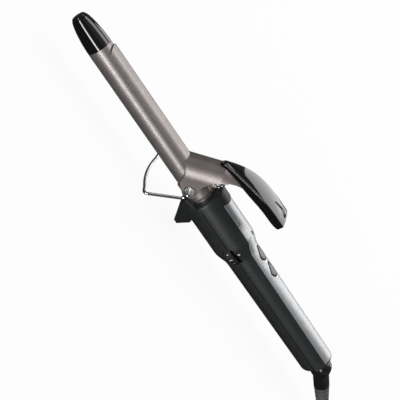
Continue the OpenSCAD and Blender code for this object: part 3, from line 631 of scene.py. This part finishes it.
def make_plug():
    """Flat two-pin plug: crisp face, waisted grip with ribs, round cord end."""
    sections = list(PLUG_FRONT)
    for i in range(GRIP_RIBS):
        x, w, t = (first + i * step for first, step in zip(GRIP_FIRST, GRIP_STEP))
        sections += [(x + back, w - slim, t - thin) for back, slim, thin in GRIP_RIB]
    sections += PLUG_BACK
    rings = [plug_ring(*section) for section in sections]
    plug = mesh_piece("plug_moulding", *skin(rings), "handle", "plug_moulding", crease=50)
    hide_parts("plug_body")
    outline = [(PLUG_FACE + x, r) for x, r in PIN_OUTLINE]
    places = [Matrix.Translation((0, PLUG_Y + side * PIN_GAP / 2, PLUG_Z)) for side in (-1, 1)]
    both = joined([lathe(outline, place, steps=32) for place in places])
    pins = mesh_piece("plug_contacts", *both, "handle", "pin_brass")
    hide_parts("plug_pins")
    return plug, pins


def make_tie():
    """Strap round the coil's turns, a flat band with rounded corners."""
    low, high = span("cord_tie")
    x0, x1 = low.x + TIE_THICK + TIE_BEND, high.x - TIE_THICK - TIE_BEND
    z0, z1 = low.z + TIE_LIFT + TIE_BEND, high.z - TIE_THICK - TIE_BEND
    inner, outer = [], []
    for middle, start in (((x1, z1), 0), ((x0, z1), 90), ((x0, z0), 180), ((x1, z0), 270)):
        inner += arc(middle, TIE_BEND, start, start + 90, steps=6)
        outer += arc(middle, TIE_BEND + TIE_THICK, start, start + 90, steps=6)
    outer = [(x, max(z, low.z)) for x, z in outer]
    rings = [[(ix, low.y, iz), (ix, high.y, iz),
              (ox, high.y - TIE_EDGE, oz), (ox, low.y + TIE_EDGE, oz)]
             for (ix, iz), (ox, oz) in zip(inner, outer)]
    tie = mesh_piece("strap", *hoop(rings), "handle", "tie_strap")
    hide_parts("cord_tie")
    return tie


cord, cord_start = make_cord()
plug, pins = make_plug()
tie = make_tie()

# ---- Swivel and strain relief ----------------------------------------------

# The throat between ball and neck: how far over the neck the ball is cut, the radius of
# the hollow, and its middle as seen from the cut's place and the neck's side.
THROAT_CUT, THROAT_R, THROAT_ALONG, THROAT_OUT = 1.2, 1.6, 2.0, 1.75
BALL_POLE_R = 0.05

# The neck's rounded end: past NECK_END, and over NECK_R.
NECK_LIP = ((-3.2, 0.02), (-1.0, 0), (-0.3, -0.15), (0, -0.6))

# The boot: it starts inside the neck, and tapers from just under the neck to the cord.
BOOT_LAP, BOOT_LAP_R, BOOT_UNDER, BOOT_OVER_CORD = 0.5, NECK_R - 1.0, 0.1, 1.5
RIB_PITCH, RIBS = 4.6, 5

# Its plain lip: past the ribs and over the taper, then past RELIEF_LEN and over the end's
# radius. The hole for the cord: its radius, and how deep it is drawn.
LIP_START, LIP_END = ((0.1, -0.7), (0.3, 0)), ((-0.4, 0), (0, -0.4))
BOOT_HOLE_R, BOOT_HOLE_DEEP = CORD_R + 0.02, 2

# One rib and the groove after it: share of the pitch, and depth under the taper.
RIB = ((0.02, 0.75), (0.06, 0.25), (0.12, 0.05), (0.2, 0), (0.5, 0), (0.6, 0.05),
       (0.66, 0.25), (0.7, 0.75), (0.78, 0.95), (0.9, 0.95))


def make_swivel():
    """Ball, neck and the soft step where the ribbed boot starts."""
    cut = math.degrees(math.asin((NECK_R + THROAT_CUT) / BALL_R))
    ball = arc((0, 0), BALL_R, 180, cut, steps=40)
    ball[0] = (-BALL_R, BALL_POLE_R)
    middle = (ball[-1][0] + THROAT_ALONG, NECK_R + THROAT_OUT)
    throat = arc(middle, THROAT_R, 200, 270, steps=6)
    neck = [(NECK_END + past, NECK_R + over) for past, over in NECK_LIP] + [(NECK_END, CORD_R)]
    piece = mesh_piece("swivel", *lathe(ball + throat + neck, AT_EXIT, steps=96),
                       "swivel", "gloss_black", crease=40)
    dress(piece, "swivel_black")
    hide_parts("swivel_ball")


def boot_r(x):
    """Radius of the boot's taper at x."""
    taper = CORD_R + BOOT_OVER_CORD - NECK_R
    return NECK_R - BOOT_UNDER + taper * (x - NECK_END) / (RELIEF_LEN - NECK_END)


def make_relief():
    """Tapered boot: rounded ribs with deep grooves, and a plain lip."""
    profile = [(NECK_END - BOOT_LAP, CORD_R), (NECK_END - BOOT_LAP, BOOT_LAP_R)]
    for i in range(RIBS):
        for share, sink in RIB:
            x = NECK_END + i * RIB_PITCH + share * RIB_PITCH
            profile.append((x, boot_r(x) - sink))
    for x, shape in ((NECK_END + RIBS * RIB_PITCH, LIP_START), (RELIEF_LEN, LIP_END)):
        profile += [(x + past, boot_r(x) + over) for past, over in shape]
    profile += [(RELIEF_LEN, BOOT_HOLE_R), (RELIEF_LEN - BOOT_HOLE_DEEP, BOOT_HOLE_R)]
    piece = mesh_piece("strain_boot", *lathe(profile, AT_EXIT, steps=64),
                       "swivel", "relief_rubber", crease=50)
    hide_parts("strain_relief")


make_swivel()
make_relief()

# ---- Tip, stand, spring and painted-shade rings ----------------------------

BARREL_R = 9.5
SEAM_X, TIP_X, TIP_END_R, TIP_EDGE = -125.0, -152.0, 4.3, 1.0

# The seam: past SEAM_X, and over the barrel. The rim on the flat end: past TIP_X, and
# over TIP_END_R; then two radii of the flat. Between them runs the bullet curve, with its
# two powers.
TIP_SEAM = ((3, -0.9), (0.02, -0.9), (-0.02, -0.25), (-0.25, -0.02))
TIP_RIM = ((0, -0.5), (0.35, -0.75), (0.35, -1.1), (0.1, -1.3))
TIP_FLAT = (0.6, 0.02)
TIP_FULL, TIP_BLUNT, TIP_STEPS, TIP_LAST = 1.7, 0.62, 48, 0.9995

STAND_LEAN = math.radians(41)
STAND_WIRE_R = 1.15

# One leg of the stand: its pin's end, its elbow, its crank and its corner at the foot.
STAND_PIN_Y, STAND_ELBOW_Y, STAND_CRANK_X, STAND_CRANK_Z = 10.8, 17.6, 1, -5
CORNER_OUT, CORNER_Y = 31.6, 28
STAND_BENDS, FOOT_BEND = [2.2, 4, 4.2], 8

# The foot: how far down the lean it is, its bow in the middle, and where the bow would end.
FOOT_OUT, FOOT_BOW, FOOT_HALF = 31, 4, 25
FOOT_STATIONS = range(-20, 21, 4)

# The spring: its turns in all, and those closed down at each end; steps for each turn, and
# sides of the wire.
SPRING_X, SPRING_MEAN_R, SPRING_WIRE_R = 9.0, 3.2, 0.8
SPRING_TURNS, SPRING_CLOSED, SPRING_STEPS, SPRING_SIDES = 6, 0.75, 36, 14

# Section of a pivot's painted-shade ring, a dark ring that stands in for the shade in the
# screw's recess: distance from the middle plane, and radius.
PIVOT_SHADE_RING = ((12.45, 3.74), (12.82, 3.74), (12.88, 3.84), (12.88, 4.12), (12.82, 4.22), (12.45, 4.22))


def make_tip():
    """Cool tip: hairline seam, long bullet curve, small flat end with a fine rim."""
    body = TIP_X + TIP_EDGE - SEAM_X
    narrowing = BARREL_R - TIP_END_R - TIP_EDGE
    profile = [(SEAM_X + past, BARREL_R + over) for past, over in TIP_SEAM]
    for i in range(2, TIP_STEPS + 1):
        u = i / TIP_STEPS * TIP_LAST
        profile.append((SEAM_X + u * body,
                        TIP_END_R + TIP_EDGE + narrowing * (1 - u ** TIP_FULL) ** TIP_BLUNT))
    profile += [(TIP_X + TIP_EDGE - TIP_EDGE * math.sin(math.radians(a)),
                 TIP_END_R + TIP_EDGE * math.cos(math.radians(a))) for a in range(10, 91, 10)]
    profile += [(TIP_X + past, TIP_END_R + over) for past, over in TIP_RIM]
    profile += [(TIP_X, r) for r in TIP_FLAT]
    piece = mesh_piece("cool_tip", *lathe(profile, Matrix(), steps=96),
                       "handle", "gloss_black", crease=40)
    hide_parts("tip_cap")


def lean(length, y):
    """A point that far down the stand's lean, at y."""
    return (-length * math.sin(STAND_LEAN), y, -length * math.cos(STAND_LEAN))


def make_stand():
    """Bent wire: pins in the screws, cranked elbows, splayed legs, bowed foot."""
    leg = [(0, -STAND_PIN_Y, 0), (0, -STAND_ELBOW_Y, 0),
           (STAND_CRANK_X, -STAND_ELBOW_Y, STAND_CRANK_Z), lean(CORNER_OUT, -CORNER_Y)]
    foot = [lean(FOOT_OUT + FOOT_BOW * (1 - (y / FOOT_HALF) ** 2), y) for y in FOOT_STATIONS]
    other = [(x, -y, z) for x, y, z in reversed(leg)]
    bends = STAND_BENDS + [FOOT_BEND] * len(foot) + STAND_BENDS[::-1]
    line = rounded_line(leg + foot + other, bends, steps=7)
    piece = curve_piece("stand_bow", line, STAND_WIRE_R, "stand", "screw_metal", sides=6)
    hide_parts("stand_wire")


def make_spring():
    """Round-wire coil spring with its ends closed down flat."""
    low, high = span("clamp_spring")
    bottom, top = low.z + SPRING_WIRE_R, high.z - SPRING_WIRE_R
    up = Vector((0, 0, 1))
    steps = SPRING_TURNS * SPRING_STEPS
    rings = []
    for i in range(steps + 1):
        t = i / steps
        turn = SPRING_TURNS * t
        flat = min(turn, SPRING_TURNS - turn, SPRING_CLOSED) / SPRING_CLOSED
        rise = t if flat >= 1 else (t * flat if t < 0.5 else 1 - (1 - t) * flat)
        out = Vector((math.cos(math.tau * turn), math.sin(math.tau * turn), 0))
        centre = Vector((SPRING_X, 0, bottom + (top - bottom) * rise)) + out * SPRING_MEAN_R
        rings.append([centre + SPRING_WIRE_R * (c * out + s * up)
                      for c, s in circle(steps=SPRING_SIDES)])
    piece = mesh_piece("coil_spring", *skin(rings), "handle", "spring_steel", crease=60)
    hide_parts("clamp_spring")
    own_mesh(piece)


def make_pivot_shade_rings():
    """Painted shade: dark rings that stand in for the shade in the recess between each pivot
    screw's head and its ear.
    """
    for side, name in ((-1, "pivot_shade_ring_near"), (1, "pivot_shade_ring_far")):
        rings = [[(r * c, side * y, r * s) for c, s in circle(steps=64)] for y, r in PIVOT_SHADE_RING]
        dress(mesh_piece(name, *hoop(rings), "handle", "satin_black"), "gasket_and_painted_shade_black")


make_tip()
make_stand()
make_spring()
make_pivot_shade_rings()

# ---- Thumb rest ------------------------------------------------------------

THUMB_X0, THUMB_LEN, THUMB_W = -5.0, 63.4, 22.6

# The top's rise, from the nose to the ridge at the share PEAK of the length.
NOSE_Z, RIDGE_Z, PEAK, RISE_BEND, CROWN = 31.0, 46.2, 0.93, 2.45, 0.8

# Thickness: at the nose, what it gains up to the share BODY_AT, and loses from TAIL_AT on.
NOSE_H, BODY_GAIN, BODY_AT = 4.4, 3.6, 0.6
TAIL_LOSS, TAIL_AT, TAIL_SHARE = 1.6, 0.85, 0.15

# Width, as shares of THUMB_W: at the nose, and what the body adds.
NOSE_WIDTH, BODY_WIDTH = 0.22, 0.78

# The section's ridges and its underside: radii, also as shares of the section's size.
EDGE_R, EDGE_SHARE, UNDER_SHARE, ACROSS = 0.9, 0.5, 0.34, 36

# The finger's hollow: round end, length, depth, point, and how it fades.
DIP_X, DIP_R, DIP_BACK, DIP_DEEP = 51.5, 6.0, 9.0, 1.2
DIP_POINT_R, DIP_FADE, DIP_FLAT, DIP_EDGE = 1.4, 0.55, 0.55, 0.45

# The rounded ends: distance from the end, and how much the section shrinks there.
THUMB_STEPS, END_ROUND = 110, 0.9
NOSE_ROUND = ((0.0, 1.0), (0.15, 0.55), (0.45, 0.22), (END_ROUND, 0.0))
TAIL_ROUND = ((END_ROUND, 0.0), (0.45, 0.12), (0.12, 0.45), (0.0, 1.0))


def thumb_top(u):
    """Height of the top at the share u of the length."""
    return RIDGE_Z - (RIDGE_Z - NOSE_Z) * max(0.0, 1 - u / PEAK) ** RISE_BEND


def thumb_h(u):
    """Thickness at u."""
    loss = TAIL_LOSS * (max(0.0, u - TAIL_AT) / TAIL_SHARE) ** 2
    return NOSE_H + BODY_GAIN * ease(u / BODY_AT) - loss


def thumb_half(u):
    """Half the width at u."""
    return THUMB_W / 2 * (NOSE_WIDTH + BODY_WIDTH * math.sin(math.radians(min(90, 180 * u))))


def dip(x, y):
    """Depth of the finger's teardrop hollow at a place on the top."""
    t = max(0.0, min(1.0, (DIP_X - x) / DIP_BACK))
    reach = DIP_R + (DIP_POINT_R - DIP_R) * t
    off = math.hypot(x - (DIP_X - DIP_BACK * t), y) / reach
    if off >= 1:
        return 0.0
    return DIP_DEEP * (1 - DIP_FADE * t) * (1 - ease((off - DIP_FLAT) / DIP_EDGE))


def thumb_ring(x, shrink=0.0):
    """One section: crowned top, crisp ridges, rounded underside."""
    u = (x - THUMB_X0) / THUMB_LEN
    h = thumb_h(u) - 2 * shrink
    half = thumb_half(u) - shrink
    top = thumb_top(u) - shrink
    edge = min(EDGE_R, half * EDGE_SHARE)
    low_r = min(h, 2 * half) * UNDER_SHARE
    ring = []
    for k in range(ACROSS + 1):
        y = (half - edge) * (2 * k / ACROSS - 1)
        crown = CROWN * (1 - (y / (half - edge)) ** 2)
        ring.append((x, y, top + crown - dip(x, y)))
    side = arc((half - edge, top - edge), edge, 90, 0, steps=5)[1:]
    side += arc((half - low_r, top - h + low_r), low_r, 0, -90, steps=7)
    ring += [(x, y, z) for y, z in side]
    ring += [(x, -y, z) for y, z in reversed(side)]
    return ring


def make_thumb_rest():
    """Curved paddle with a hollow for the finger near its free end."""
    end = THUMB_X0 + THUMB_LEN
    between = THUMB_LEN - 2 * END_ROUND
    rings = [thumb_ring(THUMB_X0 + back, shrink) for back, shrink in NOSE_ROUND]
    rings += [thumb_ring(THUMB_X0 + END_ROUND + between * i / THUMB_STEPS)
              for i in range(1, THUMB_STEPS)]
    rings += [thumb_ring(end - back, shrink) for back, shrink in TAIL_ROUND]
    piece = mesh_piece("thumb_pad", *skin(rings), "clamp", "gloss_black", crease=50)
    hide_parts("thumb_rest")


make_thumb_rest()

# ---- Controls --------------------------------------------------------------

# CAD node, piece, body and place of each button, and the teardrop that both share.
BUTTONS = (("power_button", "power_key", "power", 76.6),
           ("mode_button", "mode_key", "mode", 93.4))
DROP_LEN, DROP_W, POINT_R, BUTTON_PROUD, TRIM_OVER = 12.0, 7.8, 0.5, 0.6, 0.15

# A key's side and edge: growth of its outline, and height over its top. Then its dish:
# size of the edge's last outline, and height over its top, drawn in to DISH_X.
KEY_EDGE = ((0, -1.5), (0, -0.4), (-0.08, -0.18), (-0.25, -0.05), (-0.5, 0))
KEY_DISH = ((0.75, -0.06), (0.5, -0.15), (0.25, -0.2), (0.02, -0.21))
DISH_X = 1.1

# Section of a gasket: growth of the key's outline, and height over the trim.
GASKET = ((0.12, -0.8), (0.14, 0.1), (0.3, 0.2), (0.9, 0.2), (1.1, 0.1), (1.2, -0.1))

# The wheel, and its strokes: half height, and half width in degrees. Every third one is long.
WHEEL_X, WHEEL_Y, WHEEL_Z, WHEEL_R = 62.0, -8.025, -1.6, 10.0
STROKES, FIRST_STROKE, STROKE_Z = 12, 10, WHEEL_Z - 0.5
LONG_EVERY, LONG, SHORT = 3, (1.5, 1.6), (0.8, 1.0)
STROKE_SINK, STROKE_PROUD = 0.05, 0.04

# The index dot: its place, then height over the shell and radius.
DOT_AT = Vector((63.05, -15.18, 4.75))
DOT_PROFILE = ((-0.3, 0.85), (0.03, 0.85), (0.09, 0.7), (0.1, 0.02))


def drop_outline(grow):
    """Teardrop, round towards the cord and pointed towards the tip."""
    big, small = DROP_W / 2, POINT_R
    front, back = DROP_LEN / 2 - big, -DROP_LEN / 2 + small
    side = 180 - math.degrees(math.acos((big - small) / (front - back)))
    return (arc((front, 0), big + grow, -side, side, steps=44)
            + arc((back, 0), small + grow, side, 360 - side, steps=12))


def on_handle(x, y, over):
    """A point above the handle's round top."""
    return (x, y, math.sqrt((handle_r(x) + over) ** 2 - y * y))


def make_buttons():
    """Crowned keys with a soft edge and a shallow finger dish, each in a dark gasket."""
    for node, name, body, x0 in BUTTONS:
        rings = [[on_handle(x0 + x, y, BUTTON_PROUD + over) for x, y in drop_outline(grow)]
                 for grow, over in KEY_EDGE]
        rim = drop_outline(KEY_EDGE[-1][0])
        rings += [[on_handle(x0 + DISH_X + (x - DISH_X) * size, y * size, BUTTON_PROUD + over)
                   for x, y in rim] for size, over in KEY_DISH]
        key = mesh_piece(name, *skin(rings), body, "button_grey", crease=60)
        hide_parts(node)
        rings = [[on_handle(x0 + x, y, TRIM_OVER + over) for x, y in drop_outline(grow)]
                 for grow, over in GASKET]
        gasket = mesh_piece(name + "_gasket", *hoop(rings), "handle", "satin_black", crease=60)
        dress(gasket, "gasket_and_painted_shade_black")


def stroke(i):
    """One stroke of the wheel's scale, as a thin curved box."""
    half_h, half_w = SHORT if i % LONG_EVERY else LONG
    middle = math.radians(i * 360 / STROKES + FIRST_STROKE)
    rings = []
    for r in (WHEEL_R - STROKE_SINK, WHEEL_R + STROKE_PROUD):
        rings.append([(WHEEL_X + r * math.cos(middle + math.radians(across * half_w)),
                       WHEEL_Y + r * math.sin(middle + math.radians(across * half_w)),
                       STROKE_Z + up * half_h)
                      for across, up in ((-1, -1), (1, -1), (1, 1), (-1, 1))])
    return skin(rings)


def make_marks():
    """White print: an index dot on the shell and a scale of strokes round the wheel's rim."""
    out = Vector((0, DOT_AT.y, DOT_AT.z)).normalized()
    place = Matrix.Translation(DOT_AT) @ out.to_track_quat("X", "Z").to_matrix().to_4x4()
    dot = mesh_piece("index_dot", *lathe(DOT_PROFILE, place, steps=24), "handle", "trim_silver")
    strokes = joined([stroke(i) for i in range(STROKES)])
    scale = mesh_piece("wheel_scale", *strokes, "dial", "trim_silver")
    dress(dot, "print_white")
    dress(scale, "print_white")


make_buttons()
make_marks()

# ---- View ------------------------------------------------------------------

bpy.context.scene.view_settings.view_transform = "Standard"
